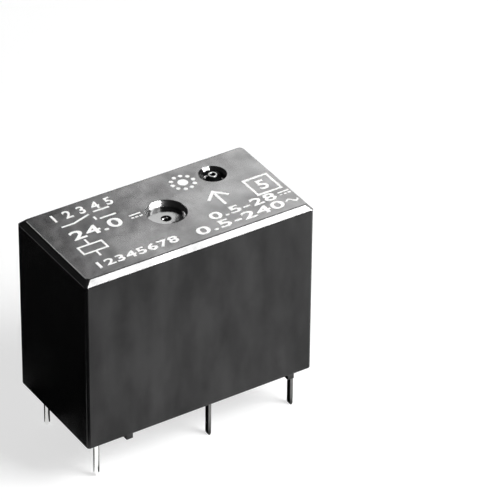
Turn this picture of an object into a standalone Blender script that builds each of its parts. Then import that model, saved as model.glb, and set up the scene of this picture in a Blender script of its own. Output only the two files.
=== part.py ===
"""A small changeover power relay for a circuit board, modelled piece by piece.

Metres, +Z up. X runs along the relay's length, the front long side faces -Y, and the
origin lies under the middle of the case, on the plane of the pin tips.
The relay is shown at rest, with its coil off.
"""

import math

import bmesh
import bpy
from mathutils import Matrix, Vector

# Pin layout, as drilled in the circuit board
COIL_TO_COMMON = 0.01016
COMMON_TO_CONTACT = 0.00762
PIN_ROW_SPACING = 0.00762
LEFT_MARGIN = 0.00147
RIGHT_MARGIN = 0.00105
SIDE_MARGIN = 0.00134
PIN_LENGTH = 0.0035

# Fits between pieces
SEAT_GAP = 0.00003
SIDE_FIT = 0.00005
SLOT_FIT = 0.00005
RIVET_FIT = 0.00005

# Moulded case
CASE_WALL = 0.00065
CASE_TOP_THICKNESS = 0.0008
TOP_CHAMFER = 0.00043
CASE_CORNER_RADIUS = 0.00025
CAVITY_CORNER_RADIUS = 0.0003
FOOT_HEIGHT = 0.0004
FOOT_WIDTH = 0.00056
FOOT_FROM_LEFT = 0.0037
FOOT_FROM_RIGHT = 0.00187
HEADROOM = 0.00255

# Round pocket where the plastic was injected, in the middle of the top
GATE_DIAMETER = 0.00325
GATE_DEPTH = 0.00115
GATE_FLOOR = 0.0005
GATE_DIMPLE_DIAMETER = 0.00092
GATE_DIMPLE_DEPTH = 0.0002
GATE_STUB_DIAMETER = 0.00036
GATE_STUB_HEIGHT = 0.00028
POCKET_WALL = 0.00055

# Vent pocket with a hollow nib that can be cut off after washing
VENT_X = 0.0058
VENT_Y = 0.0026
VENT_DIAMETER = 0.00225
VENT_DEPTH = 0.0007
VENT_FLOOR = 0.0005
NIB_SKIRT_DIAMETER = 0.00164
NIB_TIP_DIAMETER = 0.00078
NIB_BORE_DIAMETER = 0.00038
NIB_BELOW_TOP = 0.00002

# Base and the resin that seals it
RESIN_RECESS = 0.00025
RESIN_THICKNESS = 0.0006
BASE_THICKNESS = 0.00122
RAIL_THICKNESS = 0.0005
RAIL_HEIGHT = 0.0006
BARRIER_OFFSET = 0.00047
BARRIER_THICKNESS = 0.0006
BARRIER_BELOW_TOP = 0.0012
BARRIER_SIDE_GAP = 0.00015

# Magnet: yoke, core, bobbin and winding
YOKE_THICKNESS = 0.0009
YOKE_WIDTH = 0.0058
YOKE_BEND_RADIUS = 0.0007
YOKE_TO_COMMON = 0.00148
YOKE_REACH = 0.0023
CORE_DIAMETER = 0.0029
CORE_NECK_DIAMETER = 0.002
POLE_DIAMETER = 0.0052
POLE_THICKNESS = 0.00097
POLE_STEP = 0.00008
BOBBIN_HEIGHT = 0.00791
BOBBIN_FLANGE = 0.0006
BOBBIN_TUBE_WALL = 0.0005
BOBBIN_END_GAP = 0.0003
BOBBIN_SIDE_GAP = 0.0002
BOBBIN_CORNER_RADIUS = 0.0006
WINDING_MARGIN = 0.00024
TAPE_THICKNESS = 0.00008
TAPE_EDGE_MARGIN = 0.0004

# Armature and the spring that holds it on the yoke
ARMATURE_THICKNESS = 0.0009
ARMATURE_WIDTH = 0.0054
ARMATURE_KNEE_WIDTH = 0.004
ARMATURE_KNEE_LENGTH = 0.0009
ARMATURE_PAST_POLE = 0.0003
ARMATURE_KNEE_RADIUS = 0.0005
HINGE_SPRING_THICKNESS = 0.00015
HINGE_SPRING_WIDTH = 0.0055
HINGE_SPRING_ARM = 0.0005
HINGE_SPRING_LIP = 0.00045
HINGE_SPRING_FOOT = 0.0013
HINGE_SPRING_BELOW_LEG = 0.0028
HINGE_SPRING_LIFT = 0.00008
HINGE_RIVET_DIAMETER = 0.0008
HINGE_RIVET_HEAD = 0.0016
RIVET_HEAD_THICKNESS = 0.00028

# Card that carries the armature's push to the contact spring
CARD_DROP = 0.00475
CARD_WIDTH = 0.0022
CARD_HEIGHT = 0.0014
CARD_COLLAR_WIDTH = 0.0032
CARD_COLLAR_THICKNESS = 0.0004
LEG_BELOW_CARD = 0.0008

# Contact set
TERMINAL_THICKNESS = 0.00025
PIN_WIDTH = 0.00047
PIN_TIP_LENGTH = 0.00018
PIN_TIP_THICKNESS = 0.00013
STRIP_WIDTH = 0.0016
SPRING_OFFSET = 0.00317
SPRING_THICKNESS = 0.00018
SPRING_ROOT_WIDTH = 0.0032
SPRING_TIP_WIDTH = 0.0026
SPRING_ROOT_HEIGHT = 0.0025
SPRING_PAST_CONTACT = 0.0013
CLAMP_START = 0.00037
CLAMP_HEIGHT = 0.0022
CARD_TO_PLATE = 0.00055
CONTACT_GAP = 0.0005
CONTACT_CLEARANCE = 0.00004
CONTACT_DIAMETER = 0.0024
CONTACT_HEAD = 0.00045
CONTACT_DOME = 0.00012
CONTACT_SHANK_DIAMETER = 0.0012
CONTACT_TAIL_DIAMETER = 0.0016
CONTACT_TAIL = 0.00016
PLATE_WIDTH = 0.003
PLATE_FOOT_HEIGHT = 0.0022
PLATE_CORNER_RADIUS = 0.0004
SIDE_STRIP_INSET = 0.00025
SPRING_RIVET_DIAMETER = 0.0006
SPRING_RIVET_HEAD = 0.0012
SPRING_RIVET_PITCH = 0.0017

# Coil terminals and the winding's two leads
WIRE_PIN_DIAMETER = 0.00046
WIRE_PIN_TAPER = 0.00032
WIRE_PIN_TIP_DIAMETER = 0.00012
WIRE_PIN_ABOVE_FLANGE = 0.0009
LEAD_DIAMETER = 0.0001
LEAD_TURNS = 3
LEAD_PITCH = 0.00015

# Facets of the round forms
ROUND_STEPS = 48
SMALL_ROUND_STEPS = 24
FILLET_STEPS = 5
CORNER_STEPS = 3
NIB_STEPS = 6

# Case box, worked out from the pin layout
CASE_LENGTH = LEFT_MARGIN + COIL_TO_COMMON + COMMON_TO_CONTACT + RIGHT_MARGIN
CASE_WIDTH = PIN_ROW_SPACING + 2 * SIDE_MARGIN
CASE_LEFT = -CASE_LENGTH / 2
CASE_RIGHT = CASE_LENGTH / 2
CAVITY_LEFT = CASE_LEFT + CASE_WALL
CAVITY_RIGHT = CASE_RIGHT - CASE_WALL
CAVITY_HALF_WIDTH = CASE_WIDTH / 2 - CASE_WALL
FRONT_ROW_Y = -PIN_ROW_SPACING / 2
REAR_ROW_Y = PIN_ROW_SPACING / 2
COIL_PIN_X = CASE_LEFT + LEFT_MARGIN
COMMON_X = COIL_PIN_X + COIL_TO_COMMON
CONTACT_PIN_X = COMMON_X + COMMON_TO_CONTACT

# Heights, from the pin tips upwards
BOARD_Z = PIN_LENGTH
RIM_Z = BOARD_Z + FOOT_HEIGHT
RESIN_Z = RIM_Z + RESIN_RECESS
BASE_Z = RESIN_Z + RESIN_THICKNESS + SEAT_GAP
BASE_TOP_Z = BASE_Z + BASE_THICKNESS
YOKE_Z = BASE_TOP_Z + SEAT_GAP
BOBBIN_Z = YOKE_Z + YOKE_THICKNESS + SEAT_GAP
BOBBIN_TOP_Z = BOBBIN_Z + BOBBIN_HEIGHT
POLE_Z = BOBBIN_TOP_Z + SEAT_GAP
POLE_TOP_Z = POLE_Z + POLE_THICKNESS
YOKE_TOP_Z = POLE_TOP_Z + POLE_STEP
CAVITY_TOP_Z = YOKE_TOP_Z + HEADROOM
CASE_TOP_Z = CAVITY_TOP_Z + CASE_TOP_THICKNESS

# Magnet's places along X
YOKE_FACE_X = COMMON_X - YOKE_TO_COMMON
YOKE_BACK_X = YOKE_FACE_X - YOKE_THICKNESS
BOBBIN_LEFT = CAVITY_LEFT + BOBBIN_END_GAP
BOBBIN_RIGHT = YOKE_BACK_X - SEAT_GAP
COIL_X = (BOBBIN_LEFT + BOBBIN_RIGHT) / 2
BOBBIN_HALF_LENGTH = (BOBBIN_RIGHT - BOBBIN_LEFT) / 2
BOBBIN_HALF_WIDTH = CAVITY_HALF_WIDTH - BOBBIN_SIDE_GAP
TUBE_RADIUS = CORE_DIAMETER / 2 + SIDE_FIT + BOBBIN_TUBE_WALL
WINDING_RADIUS = min(BOBBIN_HALF_LENGTH, BOBBIN_HALF_WIDTH) - WINDING_MARGIN
FLANGE_TOP_Z = BOBBIN_Z + BOBBIN_FLANGE
UPPER_FLANGE_Z = BOBBIN_TOP_Z - BOBBIN_FLANGE

# Contact set's places
STRIP_Z = BASE_TOP_Z + SEAT_GAP
STRIP_TOP_Z = STRIP_Z + TERMINAL_THICKNESS
SPRING_X = COMMON_X + SPRING_OFFSET
SPRING_RIGHT_X = SPRING_X + SPRING_THICKNESS
SPRING_Z = STRIP_TOP_Z + CLAMP_START
CLAMP_TOP_Z = SPRING_Z + CLAMP_HEIGHT
SPRING_RIVET_Z = SPRING_Z + CLAMP_HEIGHT / 2
COMMON_PLATE_RIGHT = SPRING_X - SEAT_GAP
COMMON_PLATE_LEFT = COMMON_PLATE_RIGHT - TERMINAL_THICKNESS
CONTACT_LEFT_X = SPRING_X - SEAT_GAP - CONTACT_HEAD
CONTACT_RIGHT_X = SPRING_RIGHT_X + SEAT_GAP + CONTACT_HEAD
NC_FACE_X = CONTACT_LEFT_X - CONTACT_CLEARANCE
NC_PLATE_RIGHT = NC_FACE_X - CONTACT_HEAD - SEAT_GAP
NC_PLATE_LEFT = NC_PLATE_RIGHT - TERMINAL_THICKNESS
NO_FACE_X = CONTACT_RIGHT_X + CONTACT_GAP + CONTACT_CLEARANCE
NO_PLATE_LEFT = NO_FACE_X + CONTACT_HEAD + SEAT_GAP
NO_PLATE_RIGHT = NO_PLATE_LEFT + TERMINAL_THICKNESS

# Motion: the armature tips about the yoke's top edge and the card crosses to the spring
CARD_Z = YOKE_TOP_Z - CARD_DROP
CONTACT_Z = CARD_Z + CARD_HEIGHT / 2 + CARD_TO_PLATE + PLATE_WIDTH / 2
PLATE_TOP_Z = CONTACT_Z + PLATE_WIDTH / 2
SPRING_SWING = math.atan(CONTACT_GAP / (CONTACT_Z - SPRING_Z))
CARD_TRAVEL = (CARD_Z - SPRING_Z) * math.tan(SPRING_SWING)
ARMATURE_SWING = CARD_TRAVEL / CARD_DROP
LEG_Z = CARD_Z - LEG_BELOW_CARD
LEG_INNER_X = YOKE_FACE_X + SEAT_GAP
LEG_OUTER_X = LEG_INNER_X + ARMATURE_THICKNESS
CARD_LEFT = LEG_OUTER_X + SEAT_GAP
CARD_RIGHT = SPRING_X - SEAT_GAP
BARRIER_LEFT = COMMON_X + BARRIER_OFFSET
BARRIER_RIGHT = BARRIER_LEFT + BARRIER_THICKNESS

# Overlap that a cutter or a joined block needs past the face it meets
REACH = 0.0004


def clear_scene():
    for obj in list(bpy.data.objects):
        bpy.data.objects.remove(obj, do_unlink=True)


def finish(name, colour, roughness, metallic=0.0):
    """A Principled material with one colour."""
    material = bpy.data.materials.new(name)
    material.use_nodes = True
    shader = material.node_tree.nodes["Principled BSDF"]
    shader.inputs["Base Color"].default_value = (*colour, 1.0)
    shader.inputs["Roughness"].default_value = roughness
    shader.inputs["Metallic"].default_value = metallic
    return material


def place(bm, name, material=None):
    """Turns a bmesh into an object in the scene."""
    bmesh.ops.recalc_face_normals(bm, faces=bm.faces[:])
    mesh = bpy.data.meshes.new(name)
    bm.to_mesh(mesh)
    bm.free()
    if material:
        mesh.materials.append(material)
    obj = bpy.data.objects.new(name, mesh)
    bpy.context.scene.collection.objects.link(obj)
    return obj


def shade(obj, angle=35):
    """Smooth round faces with sharp edges kept."""
    obj.data.shade_smooth()
    obj.data.set_sharp_from_angle(angle=math.radians(angle))
    return obj


def set_origin(obj, point):
    """Moves an object's origin to a point and leaves its shape where it is."""
    obj.data.transform(Matrix.Translation(-Vector(point)))
    obj.location = point


def block(name, low, high, material=None):
    """A box between two corners."""
    bm = bmesh.new()
    bmesh.ops.create_cube(bm, size=1)
    size = Vector(high) - Vector(low)
    bmesh.ops.scale(bm, vec=size, verts=bm.verts)
    bmesh.ops.translate(bm, vec=(Vector(low) + Vector(high)) / 2, verts=bm.verts)
    return place(bm, name, material)


def rounded(corners, steps=FILLET_STEPS):
    """An outline whose corners (a, b, radius) are turned into arcs."""
    points = []
    count = len(corners)
    for i, (a, b, radius) in enumerate(corners):
        corner = Vector((a, b))
        if radius <= 0:
            points.append(corner)
            continue
        back = (Vector(corners[i - 1][:2]) - corner).normalized()
        ahead = (Vector(corners[(i + 1) % count][:2]) - corner).normalized()
        half_angle = back.angle(ahead) / 2
        middle = corner + (back + ahead).normalized() * radius / math.sin(half_angle)
        start = corner + back * radius / math.tan(half_angle) - middle
        end = corner + ahead * radius / math.tan(half_angle) - middle
        turn = start.angle_signed(end)
        for k in range(steps + 1):
            arc = Matrix.Rotation(-turn * k / steps, 2) @ start
            points.append(middle + arc)
    return points


def prism(name, outline, axis, low, high, material=None):
    """An outline pushed along X, Y or Z from one level to another."""
    spot = {
        "X": lambda a, b, level: (level, a, b),
        "Y": lambda a, b, level: (a, level, b),
        "Z": lambda a, b, level: (a, b, level),
    }[axis]
    bm = bmesh.new()
    base = bm.faces.new([bm.verts.new(spot(point[0], point[1], low)) for point in outline])
    grown = bmesh.ops.extrude_face_region(bm, geom=[base])
    moved = [item for item in grown["geom"] if isinstance(item, bmesh.types.BMVert)]
    step = Vector(spot(0, 0, high)) - Vector(spot(0, 0, low))
    bmesh.ops.translate(bm, vec=step, verts=moved)
    return place(bm, name, material)


def turned(name, profile, centre, axis="Z", material=None, steps=ROUND_STEPS):
    """A profile of (radius, height) points turned about an axis through a centre."""
    bm = bmesh.new()
    verts = [bm.verts.new((radius, 0, height)) for radius, height in profile]
    on_axis = profile[0][0] == 0 and profile[-1][0] == 0
    pairs = list(zip(verts, verts[1:]))
    if not on_axis:
        pairs.append((verts[-1], verts[0]))
    edges = [bm.edges.new(pair) for pair in pairs]
    bmesh.ops.spin(
        bm,
        geom=verts + edges,
        cent=(0, 0, 0),
        axis=(0, 0, 1),
        angle=2 * math.pi,
        steps=steps,
        use_merge=True,
    )
    bmesh.ops.remove_doubles(bm, verts=bm.verts[:], dist=1e-8)
    if axis == "X":
        bmesh.ops.rotate(bm, cent=(0, 0, 0), matrix=Matrix.Rotation(math.pi / 2, 3, "Y"), verts=bm.verts[:])
    bmesh.ops.translate(bm, vec=centre, verts=bm.verts[:])
    return place(bm, name, material)


def rod(name, radius, centre, length, axis="Z", material=None, steps=ROUND_STEPS):
    """A plain cylinder from its centre of one end."""
    profile = [(0, 0), (radius, 0), (radius, length), (0, length)]
    return turned(name, profile, centre, axis, material, steps)


def combine(obj, tool, operation):
    """Cuts a tool out of an object, or joins it on."""
    tool.hide_render = True
    tool.display_type = "WIRE"
    modifier = obj.modifiers.new(tool.name, "BOOLEAN")
    modifier.operation = operation
    modifier.solver = "EXACT"
    modifier.object = tool


def cut(obj, *tools):
    for tool in tools:
        combine(obj, tool, "DIFFERENCE")


def join(obj, *tools):
    for tool in tools:
        combine(obj, tool, "UNION")


def dome(radius, height, steps=4):
    """Points of a shallow round crown, from its rim to its middle."""
    sphere = (radius**2 + height**2) / (2 * height)
    reach = math.asin(radius / sphere)
    points = []
    for k in range(1, steps):
        angle = reach * (1 - k / steps)
        points.append((sphere * math.sin(angle), height - sphere * (1 - math.cos(angle))))
    points.append((0, height))
    return points


def rim_relief(name, left_x, right_x):
    """The space under the case's rim between two feet, right through the case."""
    return block(name, (left_x, -CASE_WIDTH, BOARD_Z - REACH), (right_x, CASE_WIDTH, RIM_Z))


def make_case(plastic):
    """The black moulded cover: five walls, four feet, a gate pocket and a vent pocket."""
    bm = bmesh.new()
    bmesh.ops.create_cube(bm, size=1)
    height = CASE_TOP_Z - BOARD_Z
    middle = BOARD_Z + height / 2
    bmesh.ops.scale(bm, vec=(CASE_LENGTH, CASE_WIDTH, height), verts=bm.verts)
    bmesh.ops.translate(bm, vec=(0, 0, middle), verts=bm.verts)
    top_edges = [edge for edge in bm.edges if min(vert.co.z for vert in edge.verts) > middle]
    bmesh.ops.bevel(bm, geom=top_edges, offset=TOP_CHAMFER, affect="EDGES", segments=1, profile=0.5)
    corner_edges = [edge for edge in bm.edges if abs(edge.verts[0].co.z - edge.verts[1].co.z) > TOP_CHAMFER / 2]
    bmesh.ops.bevel(
        bm,
        geom=corner_edges,
        offset=CASE_CORNER_RADIUS,
        affect="EDGES",
        segments=CORNER_STEPS,
        profile=0.5,
    )
    case = place(bm, "case", plastic)

    corners = [
        (CAVITY_LEFT, -CAVITY_HALF_WIDTH, CAVITY_CORNER_RADIUS),
        (CAVITY_RIGHT, -CAVITY_HALF_WIDTH, CAVITY_CORNER_RADIUS),
        (CAVITY_RIGHT, CAVITY_HALF_WIDTH, CAVITY_CORNER_RADIUS),
        (CAVITY_LEFT, CAVITY_HALF_WIDTH, CAVITY_CORNER_RADIUS),
    ]
    cut(case, prism("case_cavity", rounded(corners), "Z", BOARD_Z - REACH, CAVITY_TOP_Z))

    left_foot = CASE_LEFT + FOOT_FROM_LEFT
    right_foot = CASE_RIGHT - FOOT_FROM_RIGHT
    half = FOOT_WIDTH / 2
    far = CASE_LENGTH / 2 + REACH
    cut(case, rim_relief("rim_left", -far, left_foot - half))
    cut(case, rim_relief("rim_middle", left_foot + half, right_foot - half))
    cut(case, rim_relief("rim_right", right_foot + half, far))

    add_gate_pocket(case)
    add_vent_pocket(case)
    return shade(case)


def add_gate_pocket(case):
    """A round pocket with a flat floor, and the gate's stub in a dimple."""
    floor = CASE_TOP_Z - GATE_DEPTH
    boss_bottom = floor - GATE_FLOOR
    boss_top = CAVITY_TOP_Z + CASE_TOP_THICKNESS / 2
    radius = GATE_DIAMETER / 2
    join(case, rod("gate_boss", radius + POCKET_WALL, (0, 0, boss_bottom), boss_top - boss_bottom))
    cut(case, rod("gate_pocket", radius, (0, 0, floor), GATE_DEPTH + REACH))
    dimple = GATE_DIMPLE_DIAMETER / 2
    cut(case, rod("gate_dimple", dimple, (0, 0, floor - GATE_DIMPLE_DEPTH), GATE_DIMPLE_DEPTH + REACH / 2,
                  steps=SMALL_ROUND_STEPS))
    stub = GATE_STUB_DIAMETER / 2
    root = floor - GATE_DIMPLE_DEPTH
    profile = [(0, -GATE_DIMPLE_DEPTH / 2), (stub, -GATE_DIMPLE_DEPTH / 2), (stub, 0),
               (stub / 2, GATE_STUB_HEIGHT), (0, GATE_STUB_HEIGHT)]
    join(case, turned("gate_stub", profile, (0, 0, root), steps=SMALL_ROUND_STEPS))


def add_vent_pocket(case):
    """A smaller pocket with a hollow nib standing in it."""
    floor = CASE_TOP_Z - VENT_DEPTH
    boss_bottom = floor - VENT_FLOOR
    boss_top = CAVITY_TOP_Z + CASE_TOP_THICKNESS / 2
    radius = VENT_DIAMETER / 2
    boss_height = boss_top - boss_bottom
    join(case, rod("vent_boss", radius + POCKET_WALL, (VENT_X, VENT_Y, boss_bottom), boss_height))
    cut(case, rod("vent_pocket", radius, (VENT_X, VENT_Y, floor), VENT_DEPTH + REACH))
    nib = VENT_DEPTH - NIB_BELOW_TOP
    sunk = VENT_FLOOR / 2
    bore = NIB_BORE_DIAMETER / 2
    tip = NIB_TIP_DIAMETER / 2
    skirt = NIB_SKIRT_DIAMETER / 2
    profile = [(0, -sunk), (skirt, -sunk)]
    for k in range(NIB_STEPS + 1):
        rise = k / NIB_STEPS
        profile.append((tip + (skirt - tip) * (1 - rise) ** 2, nib * rise))
    profile += [(bore, nib), (bore, 0), (0, 0)]
    join(case, turned("vent_nib", profile, (VENT_X, VENT_Y, floor), steps=SMALL_ROUND_STEPS))


def pin_slot(name, x, y, low, high):
    """The slot in which a flat pin passes through the base or the resin."""
    half_x = TERMINAL_THICKNESS / 2 + SLOT_FIT
    half_y = PIN_WIDTH / 2 + SLOT_FIT
    return block(name, (x - half_x, y - half_y, low), (x + half_x, y + half_y, high))


def pin_holes(owner, low, high):
    """Five openings for the five pins."""
    radius = WIRE_PIN_DIAMETER / 2 + SLOT_FIT
    holes = []
    for side, y in (("front", FRONT_ROW_Y), ("rear", REAR_ROW_Y)):
        holes.append(rod(f"{owner}_coil_hole_{side}", radius, (COIL_PIN_X, y, low), high - low,
                         steps=SMALL_ROUND_STEPS))
        holes.append(pin_slot(f"{owner}_contact_slot_{side}", CONTACT_PIN_X, y, low, high))
    holes.append(pin_slot(f"{owner}_common_slot", COMMON_X, FRONT_ROW_Y, low, high))
    return holes


def floor_outline(gap):
    """The cavity's plan, smaller by a gap all round."""
    half = CAVITY_HALF_WIDTH - gap
    left = CAVITY_LEFT + gap
    right = CAVITY_RIGHT - gap
    radius = CAVITY_CORNER_RADIUS
    return rounded([(left, -half, radius), (right, -half, radius), (right, half, radius), (left, half, radius)])


def make_resin(resin):
    """The cast resin that closes the underside round the pins."""
    seal = prism("sealing_resin", floor_outline(SIDE_FIT), "Z", RESIN_Z, RESIN_Z + RESIN_THICKNESS, resin)
    cut(seal, *pin_holes("resin", RESIN_Z - REACH, BASE_Z + REACH))
    return shade(seal)


def make_base(plastic):
    """The base: a floor with five openings, two rails and a barrier with a window."""
    base = prism("base", floor_outline(SIDE_FIT), "Z", BASE_Z, BASE_TOP_Z, plastic)
    rail_y = YOKE_WIDTH / 2 + SIDE_FIT
    sunk = BASE_TOP_Z - BASE_THICKNESS / 2
    for side, low, high in (("front", -rail_y - RAIL_THICKNESS, -rail_y), ("rear", rail_y, rail_y + RAIL_THICKNESS)):
        left = COIL_X - YOKE_REACH
        join(base, block(f"rail_{side}", (left, low, sunk), (YOKE_BACK_X, high, BASE_TOP_Z + RAIL_HEIGHT)))
    half = CAVITY_HALF_WIDTH - BARRIER_SIDE_GAP
    top = CAVITY_TOP_Z - BARRIER_BELOW_TOP
    join(base, block("barrier", (BARRIER_LEFT, -half, sunk), (BARRIER_RIGHT, half, top)))
    window_y = CARD_WIDTH / 2 + SIDE_FIT
    window_z = CARD_HEIGHT / 2 + SIDE_FIT
    cut(base, block("card_window", (BARRIER_LEFT - REACH, -window_y, CARD_Z - window_z),
                    (BARRIER_RIGHT + REACH, window_y, CARD_Z + window_z)))
    strip_front = FRONT_ROW_Y - PIN_WIDTH / 2
    cut(base, block("strip_channel", (BARRIER_LEFT - REACH, strip_front - SIDE_FIT, BASE_TOP_Z),
                    (BARRIER_RIGHT + REACH, strip_front + STRIP_WIDTH + SIDE_FIT, STRIP_TOP_Z + SIDE_FIT)))
    cut(base, *pin_holes("base", BASE_Z - REACH, BASE_TOP_Z + REACH / 2))
    return base


def make_yoke(steel):
    """The L of soft iron: a plate under the coil and a leg beside it."""
    left = COIL_X - YOKE_REACH
    outline = rounded([
        (left, YOKE_Z, 0),
        (YOKE_FACE_X, YOKE_Z, YOKE_BEND_RADIUS),
        (YOKE_FACE_X, YOKE_TOP_Z, 0),
        (YOKE_BACK_X, YOKE_TOP_Z, 0),
        (YOKE_BACK_X, YOKE_Z + YOKE_THICKNESS, 0),
        (left, YOKE_Z + YOKE_THICKNESS, 0),
    ])
    half = YOKE_WIDTH / 2
    yoke = prism("yoke", outline, "Y", -half, half, steel)
    neck = CORE_NECK_DIAMETER / 2 + SEAT_GAP
    cut(yoke, rod("core_seat", neck, (COIL_X, 0, YOKE_Z - REACH), YOKE_THICKNESS + 2 * REACH))
    hole = HINGE_RIVET_DIAMETER / 2 + SEAT_GAP
    rivet_z = hinge_rivet_z()
    cut(yoke, rod("hinge_rivet_seat", hole, (YOKE_BACK_X - REACH, 0, rivet_z), YOKE_THICKNESS + 2 * REACH, "X",
                  steps=SMALL_ROUND_STEPS))
    return shade(yoke)


def make_core(steel):
    """The turned iron core, riveted in the yoke below, with its pole face on top."""
    neck_top = YOKE_Z + YOKE_THICKNESS + SEAT_GAP
    neck = CORE_NECK_DIAMETER / 2
    shank = CORE_DIAMETER / 2
    pole = POLE_DIAMETER / 2
    profile = [
        (0, YOKE_Z),
        (neck, YOKE_Z),
        (neck, neck_top),
        (shank, neck_top),
        (shank, POLE_Z),
        (pole, POLE_Z),
        (pole, POLE_TOP_Z),
        (0, POLE_TOP_Z),
    ]
    return shade(turned("core", profile, (COIL_X, 0, 0), material=steel))


def make_bobbin(plastic):
    """The moulded bobbin: two flanges on a tube, with holes for the coil terminals."""
    radius = BOBBIN_CORNER_RADIUS
    plan = rounded([
        (BOBBIN_LEFT, -BOBBIN_HALF_WIDTH, radius),
        (BOBBIN_RIGHT, -BOBBIN_HALF_WIDTH, radius),
        (BOBBIN_RIGHT, BOBBIN_HALF_WIDTH, radius),
        (BOBBIN_LEFT, BOBBIN_HALF_WIDTH, radius),
    ])
    bobbin = prism("bobbin", plan, "Z", BOBBIN_Z, FLANGE_TOP_Z, plastic)
    tube_bottom = FLANGE_TOP_Z - BOBBIN_FLANGE / 2
    tube_top = UPPER_FLANGE_Z + BOBBIN_FLANGE / 2
    join(bobbin, rod("bobbin_tube", TUBE_RADIUS, (COIL_X, 0, tube_bottom), tube_top - tube_bottom))
    join(bobbin, prism("bobbin_upper_flange", plan, "Z", UPPER_FLANGE_Z, BOBBIN_TOP_Z))
    bore = CORE_DIAMETER / 2 + SIDE_FIT
    cut(bobbin, rod("bobbin_bore", bore, (COIL_X, 0, BOBBIN_Z - REACH), BOBBIN_HEIGHT + 2 * REACH))
    pin_hole = WIRE_PIN_DIAMETER / 2 + SEAT_GAP
    for side, y in (("front", FRONT_ROW_Y), ("rear", REAR_ROW_Y)):
        cut(bobbin, rod(f"bobbin_pin_hole_{side}", pin_hole, (COIL_PIN_X, y, BOBBIN_Z - REACH),
                        BOBBIN_FLANGE + 2 * REACH, steps=SMALL_ROUND_STEPS))
    return shade(bobbin)


def make_ring(name, inner, outer, low, high, material):
    """A plain ring round the core."""
    profile = [(inner, low), (outer, low), (outer, high), (inner, high)]
    return shade(turned(name, profile, (COIL_X, 0, 0), material=material))


def make_winding(copper):
    low = FLANGE_TOP_Z + SEAT_GAP
    high = UPPER_FLANGE_Z - SEAT_GAP
    return make_ring("coil_winding", TUBE_RADIUS + SEAT_GAP, WINDING_RADIUS, low, high, copper)


def make_tape(film):
    low = FLANGE_TOP_Z + TAPE_EDGE_MARGIN
    high = UPPER_FLANGE_Z - TAPE_EDGE_MARGIN
    inner = WINDING_RADIUS + SEAT_GAP
    return make_ring("coil_tape", inner, inner + TAPE_THICKNESS, low, high, film)


def make_armature(steel):
    """The bent armature: an arm over the pole and a leg that pushes the card."""
    tilt = ARMATURE_SWING
    corner = Vector((LEG_INNER_X, YOKE_TOP_Z + SEAT_GAP))
    arm = Vector((-math.cos(tilt), math.sin(tilt)))
    up = Vector((math.sin(tilt), math.cos(tilt)))
    reach = LEG_INNER_X - (COIL_X - POLE_DIAMETER / 2 - ARMATURE_PAST_POLE)
    low_end = corner + arm * reach
    high_end = low_end + up * ARMATURE_THICKNESS
    top_line = corner + up * ARMATURE_THICKNESS
    knee = top_line - arm * ((LEG_OUTER_X - top_line.x) / math.cos(tilt))
    outline = rounded([
        (LEG_INNER_X, LEG_Z, 0),
        (LEG_OUTER_X, LEG_Z, 0),
        (knee.x, knee.y, ARMATURE_KNEE_RADIUS),
        (high_end.x, high_end.y, 0),
        (low_end.x, low_end.y, 0),
        (corner.x, corner.y, 0),
    ])
    half = ARMATURE_WIDTH / 2
    armature = prism("armature", outline, "Y", -half, half, steel)
    knee_half = ARMATURE_KNEE_WIDTH / 2
    left = YOKE_FACE_X - ARMATURE_KNEE_LENGTH
    for side, low, high in (("front", -half - REACH, -knee_half), ("rear", knee_half, half + REACH)):
        notch = block(f"armature_notch_{side}", (left, low, LEG_Z - REACH), (LEG_OUTER_X + REACH, high, CASE_TOP_Z))
        cut(armature, notch)
    set_origin(armature, (YOKE_FACE_X, 0, YOKE_TOP_Z))
    return shade(armature)


def hinge_rivet_z():
    return LEG_Z - HINGE_SPRING_BELOW_LEG + HINGE_SPRING_FOOT / 2


def make_hinge_spring(bronze):
    """A sprung frame on the yoke's face, whose lip holds the armature's knee down."""
    left = YOKE_FACE_X + SEAT_GAP
    right = left + HINGE_SPRING_THICKNESS
    bottom = LEG_Z - HINGE_SPRING_BELOW_LEG
    lip = YOKE_TOP_Z + SEAT_GAP + ARMATURE_THICKNESS / math.cos(ARMATURE_SWING) + HINGE_SPRING_LIFT
    lip_top = lip + HINGE_SPRING_THICKNESS
    outline = [
        (left, bottom),
        (right, bottom),
        (right, lip_top),
        (YOKE_FACE_X - HINGE_SPRING_LIP, lip_top),
        (YOKE_FACE_X - HINGE_SPRING_LIP, lip),
        (left, lip),
    ]
    half = HINGE_SPRING_WIDTH / 2
    spring = prism("hinge_spring", outline, "Y", -half, half, bronze)
    window = half - HINGE_SPRING_ARM
    cut(spring, block("hinge_spring_window", (left - REACH, -window, bottom + HINGE_SPRING_FOOT),
                      (right + REACH, window, lip)))
    hole = HINGE_RIVET_DIAMETER / 2 + SEAT_GAP
    cut(spring, rod("hinge_spring_hole", hole, (left - REACH, 0, hinge_rivet_z()), 3 * REACH, "X",
                    steps=SMALL_ROUND_STEPS))
    return spring


def make_hinge_rivet(brass):
    """The rivet that fixes the hinge spring to the yoke."""
    shank = HINGE_RIVET_DIAMETER / 2
    head = HINGE_RIVET_HEAD / 2
    grip = YOKE_THICKNESS + SEAT_GAP + HINGE_SPRING_THICKNESS + SEAT_GAP
    profile = [(0, 0), (shank, 0), (shank, grip), (head, grip), (head, grip + RIVET_HEAD_THICKNESS / 2)]
    profile += [(radius, grip + RIVET_HEAD_THICKNESS / 2 + height)
                for radius, height in dome(head, RIVET_HEAD_THICKNESS / 2)]
    return shade(turned("hinge_spring_rivet", profile, (YOKE_BACK_X, 0, hinge_rivet_z()), "X", brass,
                        SMALL_ROUND_STEPS))


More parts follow.
